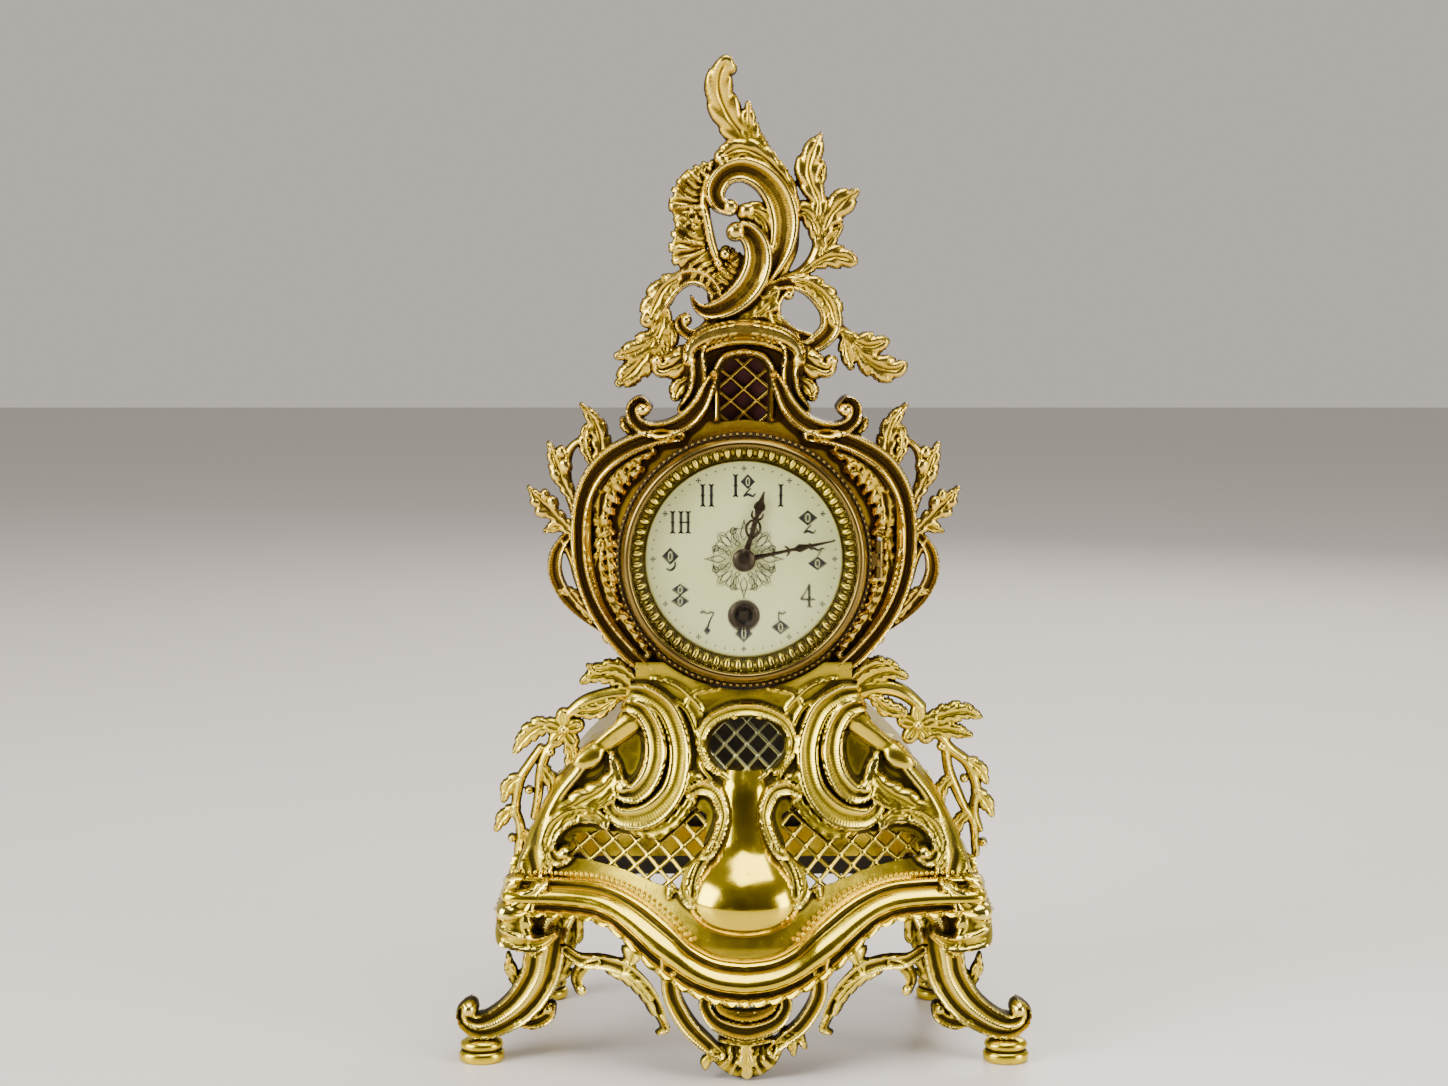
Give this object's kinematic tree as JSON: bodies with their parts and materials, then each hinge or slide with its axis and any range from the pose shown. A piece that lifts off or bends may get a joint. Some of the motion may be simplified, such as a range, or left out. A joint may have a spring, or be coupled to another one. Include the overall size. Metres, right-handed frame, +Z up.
{
  "type": "mantel clock",
  "caption": "Rococo mantel clock of gilt cast brass with a bombe pierced base, scroll feet, round enamel dial, hinged glass bezel, leafy side wings and a tall asymmetric crest.",
  "frame": {"origin": "centre of the bounding box in plan, on the surface that the feet stand on", "axes": "+Z up, +X to the right of someone who faces the dial, -Y out of the dial"},
  "size_m": [0.193, 0.1011, 0.3347],
  "materials": {
    "gilt_casting": "gilded and lacquered cast brass, worn on the ridges",
    "darkened_lattice": "dull greenish cast brass",
    "blackened_sheet": "matt black sheet",
    "drum_brass": "drawn brass sheet",
    "toned_brass": "dark toned polished brass",
    "gilt_ring": "stamped gilt brass",
    "clear_glass": "clear domed glass",
    "enamel": "glossy pale enamel with dark numerals",
    "dark_hands": "dark bronzed steel",
    "steel": "brushed steel",
    "plate_brass": "grained and lacquered brass",
    "red_silk": "dark red woven silk"
  },
  "bodies": {
    "case": {"balance_cock": "plate_brass", "base_back_plate": "blackened_sheet", "base_shell": "gilt_casting", "bezel_hinge_leaf": "toned_brass", "bezel_hinge_pin": "steel", "can_cover": "drum_brass", "click_spring": "steel", "crest": "gilt_casting", "dial": "enamel", "dial_plate": "plate_brass", "drum_surround": "gilt_casting", "foot_bolts": "steel", "front_apron": "gilt_casting", "front_left_foot": "gilt_casting", "front_plate": "plate_brass", "front_right_foot": "gilt_casting", "large_screws": "steel", "left_apron_bracket": "gilt_casting", "left_garland": "gilt_casting", "left_grille": "gilt_casting", "left_wing": "gilt_casting", "movement_can": "drum_brass", "neck_lattice": "gilt_casting", "neck_silk": "red_silk", "oval_grille": "darkened_lattice", "pillars": "plate_brass", "plinth_band": "gilt_casting", "rear_left_foot": "gilt_casting", "rear_plate": "plate_brass", "rear_right_foot": "gilt_casting", "right_apron_bracket": "gilt_casting", "right_garland": "gilt_casting", "right_grille": "gilt_casting", "right_wing": "gilt_casting", "sight_ring": "gilt_ring", "small_screws": "steel", "winding_collar": "toned_brass"},
    "bezel_door": {"bezel_ring": "toned_brass", "bezel_glass": "clear_glass", "glass_retaining_ring": "toned_brass"},
    "minute_train": {"centre_arbor": "steel", "cannon_pinion": "plate_brass", "minute_hand": "dark_hands", "hand_collet": "toned_brass", "set_knob": "plate_brass"},
    "minute_work": {"minute_wheel": "plate_brass"},
    "hour_work": {"hour_wheel": "plate_brass", "hour_hand": "dark_hands"},
    "centre_sleeve": {"centre_wheel": "plate_brass"},
    "third": {"third_wheel": "plate_brass"},
    "fourth": {"fourth_wheel": "plate_brass"},
    "escape": {"escape_wheel": "plate_brass"},
    "barrel": {"going_barrel": "plate_brass", "mainspring": "steel"},
    "winder": {"winding_arbor": "steel"},
    "click_pawl": {"click": "steel"},
    "lever": {"pallet_lever": "steel"},
    "balance": {"balance_wheel": "plate_brass", "hairspring": "steel"},
    "rate_lever": {"regulator": "steel"}
  },
  "joints": [
    {"name": "bezel_hinge", "type": "hinge", "parent": "case", "child": "bezel_door", "pos_m": [0.0454, -0.0143, 0.1685], "axis": [0, 0, 1], "range_deg": [0, 105]},
    {"name": "minute_hand_turn", "type": "hinge", "parent": "case", "child": "minute_train", "pos_m": [0, 0.0063, 0.1685], "axis": [0, 1, 0], "continuous": true},
    {"name": "minute_wheel_turn", "type": "hinge", "parent": "case", "child": "minute_work", "pos_m": [0, -0.0047, 0.1781], "axis": [0, 1, 0], "continuous": true},
    {"name": "hour_hand_turn", "type": "hinge", "parent": "case", "child": "hour_work", "pos_m": [0, -0.0047, 0.1685], "axis": [0, 1, 0], "continuous": true},
    {"name": "escape_turn", "type": "hinge", "parent": "case", "child": "escape", "pos_m": [0.01135, 0.0063, 0.18193], "axis": [0, 1, 0], "continuous": true},
    {"name": "fourth_turn", "type": "hinge", "parent": "case", "child": "fourth", "pos_m": [-0.0023, 0.0063, 0.18433], "axis": [0, 1, 0], "continuous": true},
    {"name": "third_turn", "type": "hinge", "parent": "case", "child": "third", "pos_m": [-0.01468, 0.0063, 0.17535], "axis": [0, 1, 0], "continuous": true},
    {"name": "centre_turn", "type": "hinge", "parent": "case", "child": "centre_sleeve", "pos_m": [0, 0.0063, 0.1685], "axis": [0, 1, 0], "continuous": true},
    {"name": "barrel_turn", "type": "hinge", "parent": "case", "child": "barrel", "pos_m": [0, 0.0083, 0.14925], "axis": [0, 1, 0], "continuous": true},
    {"name": "winding_turn", "type": "hinge", "parent": "case", "child": "winder", "pos_m": [0, 0.0083, 0.14925], "axis": [0, 1, 0], "continuous": true},
    {"name": "click_lift", "type": "hinge", "parent": "case", "child": "click_pawl", "pos_m": [0.00735, -0.0037, 0.15542], "axis": [0, 1, 0], "range_deg": [-5.8, 3]},
    {"name": "lever_swing", "type": "hinge", "parent": "case", "child": "lever", "pos_m": [0.01623, 0.0083, 0.17611], "axis": [0, 1, 0], "range_deg": [-5, 5]},
    {"name": "balance_swing", "type": "hinge", "parent": "case", "child": "balance", "pos_m": [0.01805, 0.0203, 0.16934], "axis": [0, 1, 0], "range_deg": [-180, 180]},
    {"name": "regulator_swing", "type": "hinge", "parent": "case", "child": "rate_lever", "pos_m": [0.01805, 0.0283, 0.16934], "axis": [0, 1, 0], "range_deg": [-20, 20]}
  ],
  "couplings": [
    {"joint": "minute_wheel_turn", "follows": "minute_hand_turn", "ratio": -0.33333},
    {"joint": "hour_hand_turn", "follows": "minute_hand_turn", "ratio": 0.083333},
    {"joint": "fourth_turn", "follows": "escape_turn", "ratio": -0.1},
    {"joint": "third_turn", "follows": "escape_turn", "ratio": 0.013333},
    {"joint": "centre_turn", "follows": "escape_turn", "ratio": -0.0016667},
    {"joint": "barrel_turn", "follows": "escape_turn", "ratio": 0.00027778}
  ]
}
